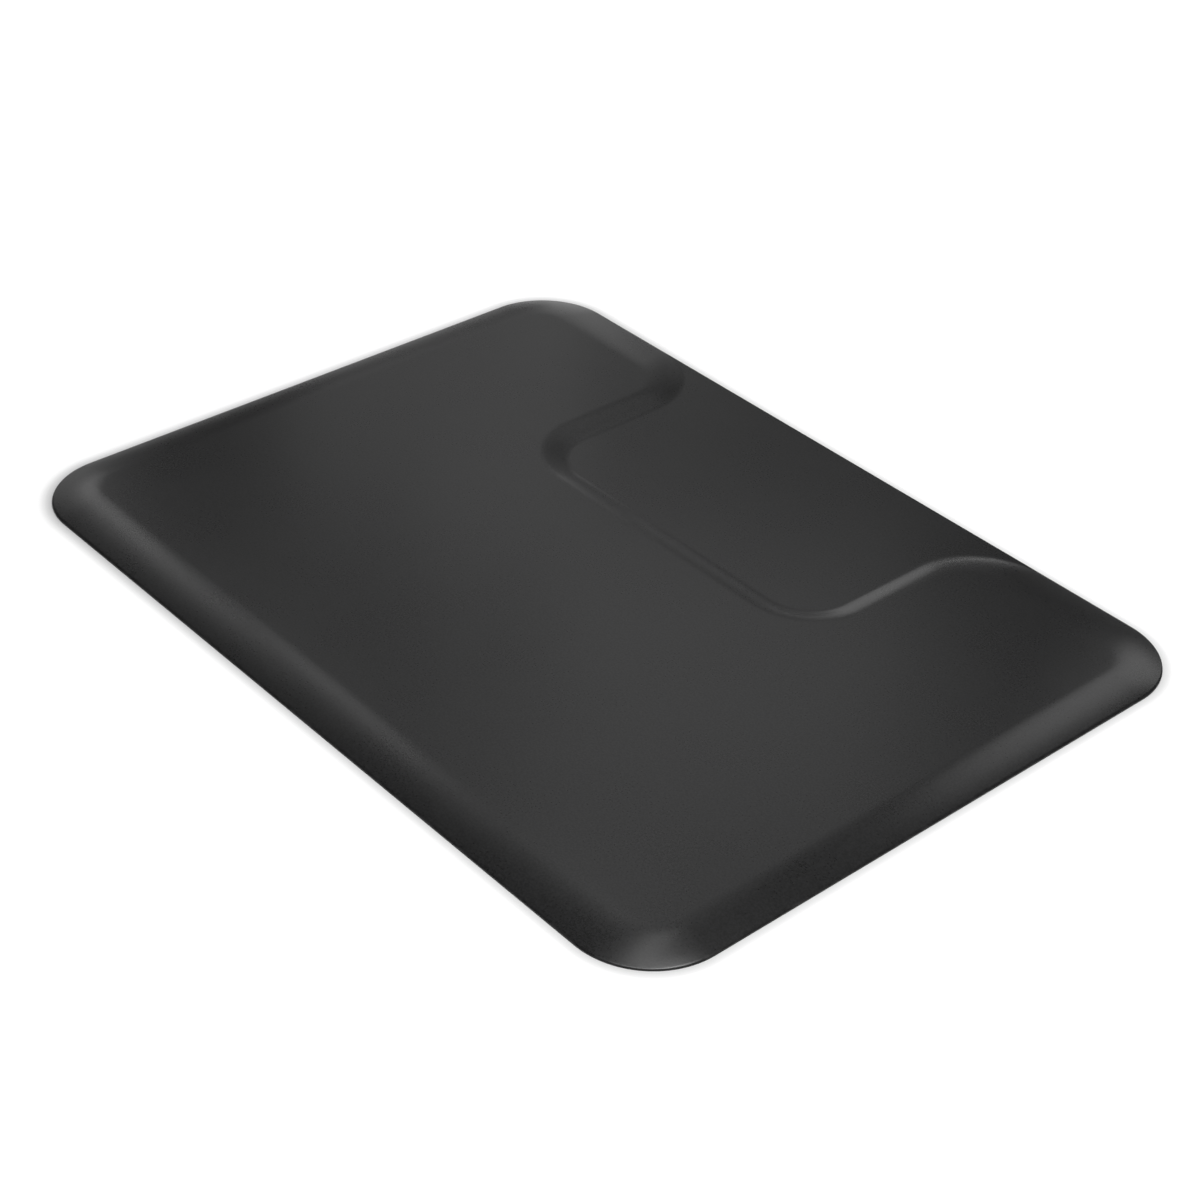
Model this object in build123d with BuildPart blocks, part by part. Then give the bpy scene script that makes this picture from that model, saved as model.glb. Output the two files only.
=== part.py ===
from build123d import *
import math
import os

# Anti-fatigue mat with a recess for a chair base: a U-shaped foam pad under a moulded skin, on a thin sheet.
# Millimetres. X runs along the mat, Y across it towards the recess, Z up from the floor.

# Plan
mat_length = 1219.2
mat_width = 914.4
corner_radius = 104.0  # outer corners
plateau_corner_radius = 40.0  # corners of the flat standing surface
bevel_short_sides = 56.0  # run of the bevel at the two short sides, along X
bevel_long_sides = 70.0  # run of the bevel at the two long sides, along Y

# Layers, from the floor up. Skin and base sheet lie on each other at the rim and in the recess.
base_thickness = 1.3
support_thickness = 5.2
comfort_thickness = 5.0
skin_thickness = 1.2

# Profiles
bevel_fullness = 1.7  # outer bevel: 1 is a straight slope, more is rounder
wall_fullness = 1.24  # recess wall, an S-curve: 1 is even, more is steeper at its foot
rim_rise = 0.2  # share of the pad's height at which the foam stops, inside the bonded rim

# Recess, at its foot
recess_width = 496.0
recess_reach = 315.0  # from the back edge to the foot of the inner wall
recess_corner_radius = 65.0
wall_run = 40.0  # run of the wall from its foot to the standing surface
mouth_radius = 114.0  # convex corner where the recess's side turns into the back edge
mouth_top_radius = 62.0  # the same corner at the standing surface

contour_count = 9  # contours that the pad's shape is drawn through

# Grip pattern in the underside
dimple_diameter = 14.0
dimple_depth = 0.5
dimple_pitch = 50.0
dimple_margin = 60.0  # plain border round the pattern

# Worked out from the sizes above
lip_height = base_thickness + skin_thickness
pad_height = support_thickness + comfort_thickness
clear_height = 2 * (lip_height + pad_height)  # safely above the mat


def bevel_share(rise):
    # Share of the outer bevel's run, in from the edge, at which it has gained this share of its height.
    return 1 - (1 - rise) ** (1 / bevel_fullness)


def wall_share(rise):
    # The same for the recess's wall, out from its foot.
    return (0.5 - math.sin(math.asin(1 - 2 * rise) / 3)) ** wall_fullness


def pad_outline(rise):
    # Contour of the pad at a share of its height: the mat's outline with the recess let into its back.
    inset = bevel_share(rise)
    half_length = mat_length / 2 - inset * bevel_short_sides
    half_width = mat_width / 2 - inset * bevel_long_sides
    corner = corner_radius + inset * (plateau_corner_radius - corner_radius)
    run = wall_share(rise) * wall_run
    side = recess_width / 2 + run
    inner = mat_width / 2 - recess_reach - run
    inner_corner = recess_corner_radius + run
    mouth = mouth_radius + rise * (mouth_top_radius - mouth_radius)
    with BuildLine() as outline:
        inner_wall = Line((0, inner), (side - inner_corner, inner))
        inner_turn = RadiusArc(inner_wall @ 1, (side, inner + inner_corner), -inner_corner)
        side_wall = Line(inner_turn @ 1, (side, half_width - mouth))
        mouth_turn = RadiusArc(side_wall @ 1, (side + mouth, half_width), mouth)
        back = Line(mouth_turn @ 1, (half_length - corner, half_width))
        back_turn = RadiusArc(back @ 1, (half_length, half_width - corner), corner)
        short_side = Line(back_turn @ 1, (half_length, corner - half_width))
        front_turn = RadiusArc(short_side @ 1, (half_length - corner, -half_width), corner)
        Line(front_turn @ 1, (0, -half_width))
        mirror(about=Plane.YZ)
    return make_face(outline.edges(), mode=Mode.PRIVATE)


def mat_outline():
    # The mat's outline on the floor.
    return RectangleRounded(mat_length, mat_width, corner_radius)


# Pad: drawn through contours that lie close together where the profiles turn
with BuildPart() as pad:
    for step in range(contour_count):
        share = step / (contour_count - 1)
        rise = share * share * (3 - 2 * share)
        with BuildSketch(Plane.XY.offset(lip_height + rise * pad_height)):
            add(pad_outline(rise))
    loft()

# Both foam layers together fill the pad under its skin, inside the bonded rim
with BuildPart() as foam_block:
    with Locations((0, 0, -skin_thickness)):
        add(pad.part)
    with BuildSketch(Plane.XY.offset(base_thickness)):
        add(pad_outline(rim_rise))
    extrude(amount=clear_height, mode=Mode.INTERSECT)

with BuildPart() as support_foam:
    add(foam_block.part)
    with BuildSketch(Plane.XY.offset(base_thickness)):
        mat_outline()
    extrude(amount=support_thickness, mode=Mode.INTERSECT)

with BuildPart() as comfort_foam:
    add(foam_block.part)
    with BuildSketch(Plane.XY.offset(base_thickness + support_thickness)):
        mat_outline()
    extrude(amount=clear_height, mode=Mode.INTERSECT)

# Moulded skin: over the pad, and flat on the base sheet at the rim and in the recess
with BuildPart() as top_skin:
    with BuildSketch(Plane.XY.offset(base_thickness)):
        mat_outline()
    extrude(amount=skin_thickness)
    add(pad.part)
    add(foam_block.part, mode=Mode.SUBTRACT)

# Bottom sheet, flush with the skin's rim, with shallow round grip dimples in its underside
with BuildPart() as base_sheet:
    with BuildSketch():
        mat_outline()
    extrude(amount=base_thickness)
    dimples_along = int((mat_length - 2 * dimple_margin) / dimple_pitch) + 1
    dimples_across = int((mat_width - 2 * dimple_margin) / dimple_pitch) + 1
    with BuildSketch():
        with GridLocations(dimple_pitch, dimple_pitch, dimples_along, dimples_across):
            Circle(dimple_diameter / 2)
    extrude(amount=dimple_depth, mode=Mode.SUBTRACT)

top_skin.part.label = "top_skin"
comfort_foam.part.label = "comfort_foam"
support_foam.part.label = "support_foam"
base_sheet.part.label = "base_sheet"

os.makedirs("parts", exist_ok=True)
export_step(top_skin.part, "parts/top_skin.step")
export_step(comfort_foam.part, "parts/comfort_foam.step")
export_step(support_foam.part, "parts/support_foam.step")
export_step(base_sheet.part, "parts/base_sheet.step")
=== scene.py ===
import math

import bpy
from mathutils import Matrix, Vector


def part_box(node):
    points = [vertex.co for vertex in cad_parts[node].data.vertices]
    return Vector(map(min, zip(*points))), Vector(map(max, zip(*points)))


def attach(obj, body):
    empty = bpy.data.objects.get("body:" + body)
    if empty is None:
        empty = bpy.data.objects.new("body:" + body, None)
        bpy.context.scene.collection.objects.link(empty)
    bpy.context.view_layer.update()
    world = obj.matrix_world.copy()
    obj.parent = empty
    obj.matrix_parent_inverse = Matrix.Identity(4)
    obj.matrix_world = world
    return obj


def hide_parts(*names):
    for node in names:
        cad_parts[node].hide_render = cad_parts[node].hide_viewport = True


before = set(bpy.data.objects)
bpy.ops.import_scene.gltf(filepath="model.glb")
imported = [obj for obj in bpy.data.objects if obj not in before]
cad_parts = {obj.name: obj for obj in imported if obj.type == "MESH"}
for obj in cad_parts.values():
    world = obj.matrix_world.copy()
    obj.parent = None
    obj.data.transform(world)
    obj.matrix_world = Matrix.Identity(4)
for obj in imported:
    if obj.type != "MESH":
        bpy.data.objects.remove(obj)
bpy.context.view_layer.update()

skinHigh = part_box("top_skin")[1]
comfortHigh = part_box("comfort_foam")[1]
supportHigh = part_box("support_foam")[1]
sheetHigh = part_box("base_sheet")[1]
print("frame loaded")

# the mat's moulded shape, in metres
mat = {
    "halfLength": skinHigh.x,
    "halfWidth": skinHigh.y,
    "height": skinHigh.z,
    "cornerRadius": 0.104,
    "plateauCornerRadius": 0.040,
    "bevelShortSides": 0.056,
    "bevelLongSides": 0.070,
    "bevelFullness": 1.7,      # 1 is a straight slope, more is rounder
    "edgeRound": 0.0009,
    "skinThickness": skinHigh.z - comfortHigh.z,
    "rimWidth": skinHigh.x - supportHigh.x,
    "sheetThickness": sheetHigh.z,
}
mat["lipHeight"] = mat["sheetThickness"] + mat["skinThickness"]

# the recess for a chair base, measured at the foot of its wall
recess = {
    "halfWidth": 0.248,
    "reach": 0.315,            # in from the back edge
    "cornerRadius": 0.065,
    "wallRun": 0.040,
    "wallFullness": 1.24,      # 1 is an even S-curve, more is steeper at its foot
    "mouthRadius": 0.114,      # convex corner where the recess's side turns into the back edge
    "mouthTopRadius": 0.062,   # the same corner at the standing surface
}
heightSearchSteps = 18         # halvings when the height of the recess's wall is looked for

recess["innerY"] = mat["halfWidth"] - recess["reach"]
recess["cornerX"] = recess["halfWidth"] - recess["cornerRadius"]
recess["cornerY"] = recess["innerY"] + recess["cornerRadius"]
recess["mouthX"] = recess["halfWidth"] + recess["mouthRadius"]


def clamp(value):
    return min(1.0, max(0.0, value))


def bevelShare(x, y):
    # 0 at the mat's edge, 1 where the flat top begins; the corners' radius shrinks on the way in
    x, y = abs(x), abs(y)
    radius = mat["cornerRadius"]
    shrink = radius - mat["plateauCornerRadius"]
    cornerX = x - (mat["halfLength"] - radius)
    cornerY = y - (mat["halfWidth"] - radius)
    driftX = shrink - mat["bevelShortSides"]
    driftY = shrink - mat["bevelLongSides"]
    a = driftX ** 2 + driftY ** 2 - shrink ** 2
    b = 2 * (shrink * radius - cornerX * driftX - cornerY * driftY)
    c = cornerX ** 2 + cornerY ** 2 - radius ** 2
    share = (-b + math.sqrt(max(0.0, b * b - 4 * a * c))) / (2 * a)
    if cornerX - driftX * share > 0 and cornerY - driftY * share > 0:
        return clamp(share)
    alongX = (mat["halfLength"] - x) / mat["bevelShortSides"]
    alongY = (mat["halfWidth"] - y) / mat["bevelLongSides"]
    return clamp(min(alongX, alongY))


def outsideRecess(x, y, rise):
    # whether a point is on the pad's side of the contour drawn at this share of the pad's height
    run = recess["wallRun"] * (0.5 - math.sin(math.asin(1 - 2 * rise) / 3)) ** recess["wallFullness"]
    inset = mat["bevelLongSides"] * (1 - (1 - rise) ** (1 / mat["bevelFullness"]))
    side = recess["halfWidth"] + run
    mouth = recess["mouthRadius"] + rise * (recess["mouthTopRadius"] - recess["mouthRadius"])
    mouthX, mouthY = side + mouth, mat["halfWidth"] - inset - mouth
    if y <= recess["innerY"] - run:
        return True
    if x > recess["cornerX"] and y < recess["cornerY"]:
        return math.hypot(x - recess["cornerX"], y - recess["cornerY"]) >= recess["cornerRadius"] + run
    if x < mouthX and y > mouthY:
        return math.hypot(x - mouthX, y - mouthY) <= mouth
    return x >= side


def topHeight(x, y):
    rise = 1 - (1 - bevelShare(x, y)) ** mat["bevelFullness"]
    x = abs(x)
    nearRecess = x < recess["mouthX"] and y > recess["innerY"] - recess["wallRun"]
    if nearRecess and not outsideRecess(x, y, rise):
        low, high = 0.0, rise
        for _ in range(heightSearchSteps):
            middle = (low + high) / 2
            if outsideRecess(x, y, middle):
                low = middle
            else:
                high = middle
        rise = low
    return mat["lipHeight"] + (mat["height"] - mat["lipHeight"]) * rise


def planPoint(x, y, inset):
    # a point of the plain rectangle, drawn in and taken round the mat's corners
    x *= 1 - inset / mat["halfLength"]
    y *= 1 - inset / mat["halfWidth"]
    radius = mat["cornerRadius"] - inset
    startX = mat["halfLength"] - mat["cornerRadius"]
    startY = mat["halfWidth"] - mat["cornerRadius"]
    p = (abs(x) - startX) / radius
    q = (abs(y) - startY) / radius
    if p > 0 and q > 0:
        x = math.copysign(startX + radius * p * math.sqrt(1 - q * q / 2), x)
        y = math.copysign(startY + radius * q * math.sqrt(1 - p * p / 2), y)
    return x, y


def gridLines(stops):
    # places of the grid's lines: each stop is where a stretch ends and how far apart its lines are
    places = [stops[0][0]]
    for end, spacing in stops[1:]:
        start = places[-1]
        count = max(1, round((end - start) / spacing))
        places += [start + (end - start) * step / count for step in range(1, count + 1)]
    return places


def deselectAll():
    if bpy.context.mode != "OBJECT":
        bpy.ops.object.mode_set(mode="OBJECT")
    bpy.ops.object.select_all(action="DESELECT")


def pick(piece):
    deselectAll()
    piece.select_set(True)
    bpy.context.view_layer.objects.active = piece


# spacing of the skin's grid: close over the bevels and the recess's wall, open on the flat
skinGrid = {
    "bevel": 0.0025,
    "corner": 0.005,
    "wall": 0.0032,
    "floor": 0.008,
    "flat": 0.012,
    "edgeSteps": 4,            # rings round the small radius at the mat's edge
    "joinGap": 1e-5,           # points closer than this become one
    "smoothAngle": 40,         # degrees
}


def skinLines():
    halfLength, halfWidth = mat["halfLength"], mat["halfWidth"]
    radius = mat["cornerRadius"]
    rightHalf = gridLines([
        (0.0, 0),
        (recess["cornerX"], skinGrid["flat"]),
        (recess["mouthX"], skinGrid["wall"]),
        (halfLength - radius, skinGrid["flat"]),
        (halfLength - mat["bevelShortSides"], skinGrid["corner"]),
        (halfLength, skinGrid["bevel"]),
    ])
    alongX = [-x for x in reversed(rightHalf[1:])] + rightHalf
    alongY = gridLines([
        (-halfWidth, 0),
        (mat["bevelLongSides"] - halfWidth, skinGrid["bevel"]),
        (radius - halfWidth, skinGrid["corner"]),
        (recess["innerY"] - recess["wallRun"] - skinGrid["wall"], skinGrid["flat"]),
        (recess["cornerY"], skinGrid["wall"]),
        (halfWidth - mat["bevelLongSides"] - recess["mouthTopRadius"], skinGrid["floor"]),
        (halfWidth, skinGrid["bevel"]),
    ])
    return alongX, alongY


def placeSheet(vertices, places, inset, drop):
    for vertex in vertices:
        x, y = planPoint(*places[vertex.index], inset)
        vertex.co = (x, y, topHeight(x, y) - drop)


def makeSkin():
    alongX, alongY = skinLines()
    stepsX, stepsY = len(alongX) - 1, len(alongY) - 1
    deselectAll()
    bpy.ops.mesh.primitive_grid_add(x_subdivisions=stepsX, y_subdivisions=stepsY, size=2)
    outer = bpy.context.active_object
    outer.name = "moulded_skin"
    mesh = outer.data
    # every point remembers its place on the plain rectangle, and points grown from it inherit that
    place = mesh.attributes.new("place", "FLOAT_VECTOR", "POINT")
    for vertex in mesh.vertices:
        column = round((vertex.co.x + 1) / 2 * stepsX)
        row = round((vertex.co.y + 1) / 2 * stepsY)
        place.data[vertex.index].vector = (alongX[column], alongY[row], 0)

    # the inner face of the skin is a second sheet, turned over and drawn in by the rim
    bpy.ops.object.duplicate()
    inner = bpy.context.active_object
    places = [item.vector[:2] for item in inner.data.attributes["place"].data]
    placeSheet(inner.data.vertices, places, mat["rimWidth"], mat["skinThickness"])
    inner.data.flip_normals()

    pick(outer)
    placeSheet(mesh.vertices, places, mat["edgeRound"], 0)

    # rings from the outer sheet's border, round the small edge radius, down to the base sheet and in
    edgeRound = mat["edgeRound"]
    roundTop = mat["lipHeight"]
    rings = []
    for step in range(1, skinGrid["edgeSteps"] + 1):
        turn = math.pi / 2 * step / skinGrid["edgeSteps"]
        rings.append((edgeRound * (1 - math.sin(turn)), roundTop - edgeRound * (1 - math.cos(turn))))
    rings.append((0.0, mat["sheetThickness"]))
    rings.append((mat["rimWidth"], mat["sheetThickness"]))
    rings.append((mat["rimWidth"], None))        # up to the inner sheet
    bpy.ops.object.mode_set(mode="EDIT")
    bpy.ops.mesh.select_mode(type="VERT")
    bpy.ops.mesh.select_all(action="DESELECT")
    bpy.ops.mesh.select_non_manifold(extend=False, use_wire=False, use_boundary=True,
                                     use_multi_face=False, use_non_contiguous=False, use_verts=False)
    for inset, level in rings:
        bpy.ops.mesh.extrude_region_move()
        bpy.ops.object.mode_set(mode="OBJECT")
        inherited = mesh.attributes["place"].data
        for vertex in mesh.vertices:
            if vertex.select:
                x, y = planPoint(*inherited[vertex.index].vector[:2], inset)
                z = topHeight(x, y) - mat["skinThickness"] if level is None else level
                vertex.co = (x, y, z)
        bpy.ops.object.mode_set(mode="EDIT")
    bpy.ops.object.mode_set(mode="OBJECT")

    # the last ring lies on the inner sheet's border, so the two close up into one shell
    inner.select_set(True)
    bpy.ops.object.join()
    bpy.ops.object.mode_set(mode="EDIT")
    bpy.ops.mesh.select_all(action="SELECT")
    bpy.ops.mesh.remove_doubles(threshold=skinGrid["joinGap"])
    bpy.ops.mesh.normals_make_consistent(inside=False)
    bpy.ops.object.mode_set(mode="OBJECT")
    outer.data.attributes.remove(outer.data.attributes["place"])
    bpy.ops.object.shade_smooth_by_angle(angle=math.radians(skinGrid["smoothAngle"]))
    return outer


class Wire:
    # one socket of a material, with the arithmetic that the finishes use
    def __init__(self, tree, socket):
        self.tree = tree
        self.socket = socket

    def node(self, kind, settings=None, inputs=None, output=0):
        # any other node: its settings first, then a value or a link for each named socket
        made = self.tree.nodes.new(kind)
        for name, setting in (settings or {}).items():
            setattr(made, name, setting)
        for name, value in (inputs or {}).items():
            self.feed(made.inputs[name], value)
        return Wire(self.tree, made.outputs[output])

    def feed(self, target, value):
        if isinstance(value, Wire):
            self.tree.links.new(value.socket, target)
        elif isinstance(value, (tuple, list)) and target.type == "RGBA" and len(value) == 3:
            target.default_value = (*value, 1)
        else:
            target.default_value = value

    def math(self, operation, first, second=0.0):
        return self.node("ShaderNodeMath", {"operation": operation}, {0: first, 1: second})

    def __add__(self, other):
        return self.math("ADD", self, other)

    def __radd__(self, other):
        return self.math("ADD", other, self)

    def __sub__(self, other):
        return self.math("SUBTRACT", self, other)

    def __rsub__(self, other):
        return self.math("SUBTRACT", other, self)

    def __mul__(self, other):
        return self.math("MULTIPLY", self, other)

    def __rmul__(self, other):
        return self.math("MULTIPLY", other, self)

    def larger(self, other):
        return self.math("MAXIMUM", self, other)

    def smaller(self, other):
        return self.math("MINIMUM", self, other)

    def root(self):
        return self.math("SQRT", self)

    def size(self):
        return self.math("ABSOLUTE", self)

    def between(self, low, high):
        # 0 at low, 1 at high, smooth between them
        return self.node("ShaderNodeMapRange", {"interpolation_type": "SMOOTHSTEP"},
                         {"Value": self, "From Min": low, "From Max": high})


def startMaterial(name):
    material = bpy.data.materials.new(name)
    material.use_nodes = True
    tree = material.node_tree
    shader = tree.nodes["Principled BSDF"]
    place = Wire(tree, None).node("ShaderNodeTexCoord", output="Object")
    return material, shader, place


def noise(place, scale, detail=2.0, roughness=0.5):
    return place.node("ShaderNodeTexNoise", {"noise_dimensions": "3D"},
                      {"Vector": place, "Scale": scale, "Detail": detail, "Roughness": roughness}, "Fac")


def blend(share, first, second):
    return share.node("ShaderNodeMix", {"data_type": "RGBA"}, {0: share, 6: first, 7: second}, 2)


def bumpFrom(height, depth):
    return height.node("ShaderNodeBump", None, {"Height": height, "Distance": depth, "Strength": 1.0})


def edgeDistance(place):
    # distance in from the mat's outline, seen from above
    axes = place.node("ShaderNodeSeparateXYZ", None, {0: place})
    tree = place.tree
    x, y = (Wire(tree, socket).size() for socket in axes.socket.node.outputs[:2])
    radius = mat["cornerRadius"]
    x = x - (mat["halfLength"] - radius)
    y = y - (mat["halfWidth"] - radius)
    beyondX, beyondY = x.larger(0.0), y.larger(0.0)
    corner = (beyondX * beyondX + beyondY * beyondY).root()
    return radius - corner - x.larger(y).smaller(0.0)


# moulded polyurethane skin: near-black, satin, with a very fine even grain
skinFinish = {
    "colour": (0.0060, 0.0060, 0.0061),
    "colourPale": (0.0150, 0.0150, 0.0154),
    "worn": (0.030, 0.030, 0.031),
    "roughness": 0.28,
    "roughnessSpread": 0.05,
    "speckleScale": 400.0,
    "grainScale": 800.0,
    "grainDepth": 0.00002,
    "wornBand": 0.0030,        # how far in from the edge the rubbing shows
    "wornShare": 0.7,
    "wornRoughness": 0.12,     # how much rougher a rubbed place is
    "cloudShare": 0.12,        # slow change of shade, against the fine speckle
}


def makeSkinMaterial():
    material, shader, place = startMaterial("satin_skin")
    clouds = noise(place, 9.0, 3.0)
    speckle = noise(place, skinFinish["speckleScale"], 1.0, 0.5)
    grain = noise(place, skinFinish["grainScale"], 2.0, 0.55)
    scuffs = noise(place, 38.0, 4.0, 0.65)
    rubbed = (1 - edgeDistance(place).between(0.0, skinFinish["wornBand"])) * scuffs.between(0.42, 0.66)
    mottle = clouds * skinFinish["cloudShare"] + speckle * (1 - skinFinish["cloudShare"])
    colour = blend(mottle.between(0.3, 0.7), skinFinish["colour"], skinFinish["colourPale"])
    colour = blend(rubbed * skinFinish["wornShare"], colour, skinFinish["worn"])
    spread = skinFinish["roughnessSpread"]
    roughness = (skinFinish["roughness"] - spread / 2) + clouds * (spread * 0.5) + speckle * (spread * 0.5)
    wireUp(shader, place, colour, roughness + rubbed * skinFinish["wornRoughness"],
           bumpFrom(grain, skinFinish["grainDepth"]))
    return material


def wireUp(shader, place, colour, roughness, bump):
    place.feed(shader.inputs["Base Color"], colour)
    place.feed(shader.inputs["Roughness"], roughness)
    place.feed(shader.inputs["Normal"], bump)


# closed-cell foam: the soft layer has larger cells and a lighter grey than the firm one
foams = {
    "comfort_foam": {
        "colour": (0.11, 0.11, 0.115),
        "pale": (0.16, 0.16, 0.166),
        "cell": 620.0,
        "depth": 0.0003,
    },
    "support_foam": {
        "colour": (0.070, 0.070, 0.074),
        "pale": (0.105, 0.105, 0.110),
        "cell": 900.0,
        "depth": 0.0002,
    },
}


def makeFoamMaterial(name, foam):
    material, shader, place = startMaterial(name + "_cells")
    cells = place.node("ShaderNodeTexVoronoi", {"feature": "F1"},
                       {"Vector": place, "Scale": foam["cell"]}, "Distance")
    clouds = noise(place, 25.0, 3.0)
    colour = blend((cells * 0.7 + clouds * 0.4).between(0.2, 0.8), foam["colour"], foam["pale"])
    roughness = 0.82 + clouds * 0.12
    wireUp(shader, place, colour, roughness, bumpFrom(cells, foam["depth"]))
    return material


# base sheet: matt rubbery sheet with a pebbled face
sheetFinish = {
    "colour": (0.016, 0.016, 0.0165),
    "pale": (0.026, 0.026, 0.027),
    "pebbleScale": 520.0,
    "pebbleDepth": 0.00012,
    "roughness": 0.62,
}


def makeSheetMaterial():
    material, shader, place = startMaterial("grip_rubber")
    pebbles = place.node("ShaderNodeTexVoronoi", {"feature": "SMOOTH_F1"},
                         {"Vector": place, "Scale": sheetFinish["pebbleScale"]}, "Distance")
    dust = noise(place, 30.0, 4.0, 0.6)
    colour = blend((pebbles * 0.5 + dust * 0.6).between(0.3, 0.9), sheetFinish["colour"], sheetFinish["pale"])
    roughness = sheetFinish["roughness"] + dust * 0.18
    wireUp(shader, place, colour, roughness, bumpFrom(pebbles, sheetFinish["pebbleDepth"]))
    return material


def dress(piece, material):
    piece.data.materials.clear()
    piece.data.materials.append(material)


skin = makeSkin()
dress(skin, makeSkinMaterial())
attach(skin, "root")
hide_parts("top_skin")
print("skin moulded:", len(skin.data.polygons), "faces")

for nodeName, foam in foams.items():
    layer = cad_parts[nodeName]
    dress(layer, makeFoamMaterial(nodeName, foam))
dress(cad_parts["base_sheet"], makeSheetMaterial())
print("foam and base sheet finished")


# studio: pale floor that stays white to the camera, with a painted shadow round the mat: its glow fades out
# towards the mat's edge, on top of the mat's own cast shadow
studio = {
    "floorSize": 14.0,
    "floorColour": (0.80, 0.80, 0.80),
    "paintedShadowReach": 0.022,      # painted shadow: the floor's glow fades out over this distance in to the mat's edge
    "glowNear": 0.45,
    "glowReach": 0.60,         # from here on the floor is plain white
    "worldStrength": 0.06,
}


def makeFloor():
    deselectAll()
    bpy.ops.mesh.primitive_plane_add(size=studio["floorSize"], location=(0, 0, 0))
    floor = bpy.context.active_object
    floor.name = "studio_floor"
    material, shader, place = startMaterial("pale_floor")
    rays = place.node("ShaderNodeLightPath")
    path = rays.socket.node.outputs
    seen = Wire(place.tree, path["Is Camera Ray"]).larger(Wire(place.tree, path["Is Glossy Ray"]))
    seen = seen.larger(Wire(place.tree, path["Is Transmission Ray"]))
    away = 0.0 - edgeDistance(place)
    # painted shadow: the floor's glow is nil at the mat's edge and rises over the first couple of
    # centimetres, so the floor is darker round the mat; past that it keeps rising slowly out to glowReach
    glow = away.between(0.0, studio["paintedShadowReach"]) * studio["glowNear"]
    glow = glow + away.between(0.0, studio["glowReach"]) * (1 - studio["glowNear"])
    place.feed(shader.inputs["Base Color"], studio["floorColour"])
    place.feed(shader.inputs["Roughness"], 1.0)
    place.feed(shader.inputs["Specular IOR Level"], 0.0)
    place.feed(shader.inputs["Emission Color"], blend(seen * glow, (0.0, 0.0, 0.0), (1.0, 1.0, 1.0)))
    place.feed(shader.inputs["Emission Strength"], 1.0)
    dress(floor, material)


def makeWorld():
    # weak light all round, and plain white where the camera looks past the floor
    scene = bpy.context.scene
    if scene.world is None:
        scene.world = bpy.data.worlds.new("studio")
    scene.world.use_nodes = True
    tree = scene.world.node_tree
    ambient = tree.nodes["Background"]
    ambient.inputs["Color"].default_value = (1, 1, 1, 1)
    ambient.inputs["Strength"].default_value = studio["worldStrength"]
    wire = Wire(tree, None)
    path = wire.node("ShaderNodeLightPath").socket.node.outputs
    seen = Wire(tree, path["Is Camera Ray"]).larger(Wire(tree, path["Is Transmission Ray"]))
    backdrop = wire.node("ShaderNodeBackground", None, {"Color": (1.0, 1.0, 1.0), "Strength": 1.0})
    mixed = wire.node("ShaderNodeMixShader", None, {0: seen, 1: Wire(tree, ambient.outputs[0]), 2: backdrop})
    wire.feed(tree.nodes["World Output"].inputs["Surface"], mixed)


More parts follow.
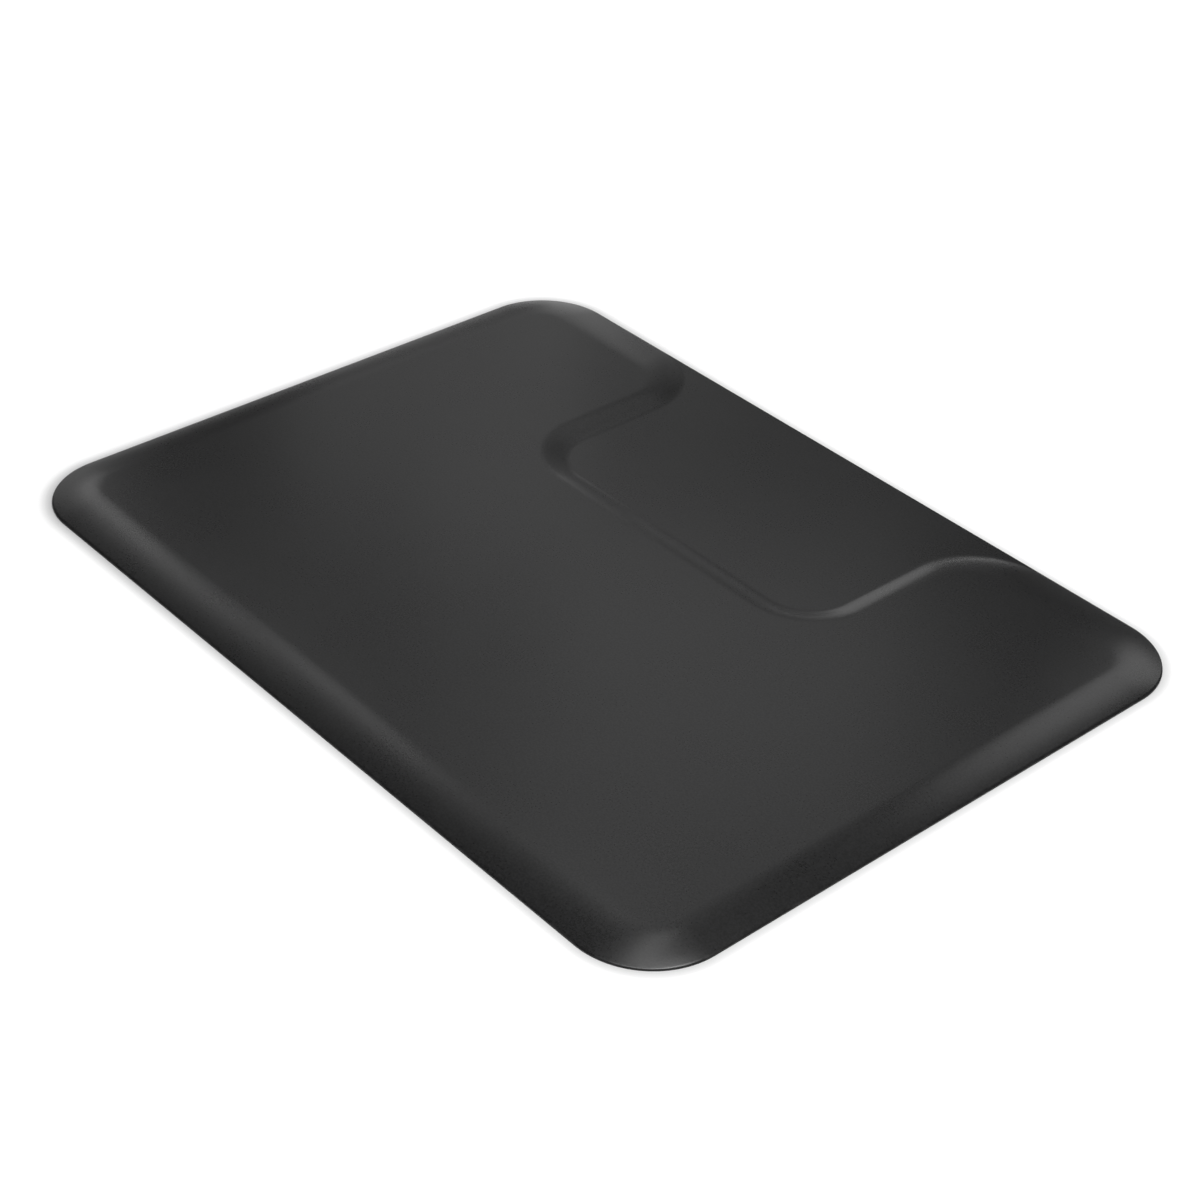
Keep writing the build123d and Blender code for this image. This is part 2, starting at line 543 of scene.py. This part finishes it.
# soft studio panels, all turned to the middle of the mat; azimuth in degrees, from +X towards +Y
lamps = [
    {"name": "behind_left_soft", "azimuth": 131, "elevation": 48, "distance": 1.4,
     "size": (0.90, 0.95), "power": 0.84},
    {"name": "left_back_soft", "azimuth": 150, "elevation": 24, "distance": 1.5,
     "size": (0.55, 0.60), "power": 0.31},
    {"name": "key_above_front", "azimuth": 341, "elevation": 68, "distance": 2.3,
     "size": (1.20, 1.20), "power": 43},
    {"name": "far_back_low", "azimuth": 136, "elevation": 11, "distance": 4.0,
     "size": (0.50, 1.60), "power": 1.7},
    {"name": "left_strip", "azimuth": 171, "elevation": 32, "distance": 2.9,
     "size": (0.25, 1.05), "power": 1.7},
    {"name": "behind_recess_soft", "azimuth": 116, "elevation": 46, "distance": 1.1,
     "size": (0.75, 0.50), "power": 0.35},
    {"name": "far_left_high", "azimuth": 159, "elevation": 45, "distance": 3.6,
     "size": (0.40, 0.45), "power": 2.1},
    {"name": "back_panel", "azimuth": 135, "elevation": 15, "distance": 2.3,
     "size": (1.85, 1.40), "power": 1.6},
    {"name": "behind_right", "azimuth": 77, "elevation": 33, "distance": 1.4,
     "size": (0.45, 0.75), "power": 1.6},
    {"name": "left_low_panel", "azimuth": 176, "elevation": 20, "distance": 2.5,
     "size": (0.65, 1.30), "power": 1.5},
    {"name": "top_strip", "azimuth": 119, "elevation": 80, "distance": 2.3,
     "size": (0.20, 1.00), "power": 3.1},
    {"name": "top_small", "azimuth": 141, "elevation": 65, "distance": 1.5,
     "size": (0.40, 0.20), "power": 0.33},
]


def makeLamps():
    for lamp in lamps:
        azimuth, elevation = math.radians(lamp["azimuth"]), math.radians(lamp["elevation"])
        aim = Vector((math.cos(elevation) * math.cos(azimuth), math.cos(elevation) * math.sin(azimuth),
                      math.sin(elevation)))
        deselectAll()
        bpy.ops.object.light_add(type="AREA", location=aim * lamp["distance"])
        made = bpy.context.active_object
        made.name = lamp["name"]
        made.data.shape = "RECTANGLE"
        made.data.size, made.data.size_y = lamp["size"]
        made.data.energy = lamp["power"]
        made.rotation_euler = (-aim).to_track_quat("-Z", "Y").to_euler()
        made.visible_camera = False


# the camera looks down over the near right corner
view = {
    "azimuth": 47.4788,
    "elevation": 35.2717,
    "roll": 2.475,
    "distance": 3.1542,
    "target": (0.04965, -0.02423, 0.0),
    "lens": 75.629,
    "sensor": 36.0,
}


def makeCamera():
    azimuth, elevation, roll = (math.radians(view[name]) for name in ("azimuth", "elevation", "roll"))
    back = Vector((math.sin(azimuth) * math.cos(elevation), -math.cos(azimuth) * math.cos(elevation),
                   math.sin(elevation)))
    right = Vector((math.cos(azimuth), math.sin(azimuth), 0))
    up = back.cross(right)
    turnedRight = right * math.cos(roll) + up * math.sin(roll)
    turnedUp = up * math.cos(roll) - right * math.sin(roll)
    deselectAll()
    bpy.ops.object.camera_add()
    camera = bpy.context.active_object
    turn = Matrix((turnedRight, turnedUp, back)).transposed().to_4x4()
    camera.matrix_world = Matrix.Translation(Vector(view["target"]) + back * view["distance"]) @ turn
    camera.data.sensor_width = view["sensor"]
    camera.data.lens = view["lens"]
    bpy.context.scene.camera = camera


makeFloor()
makeWorld()
makeLamps()
makeCamera()
bpy.context.scene.view_settings.view_transform = "Standard"
print("studio ready")
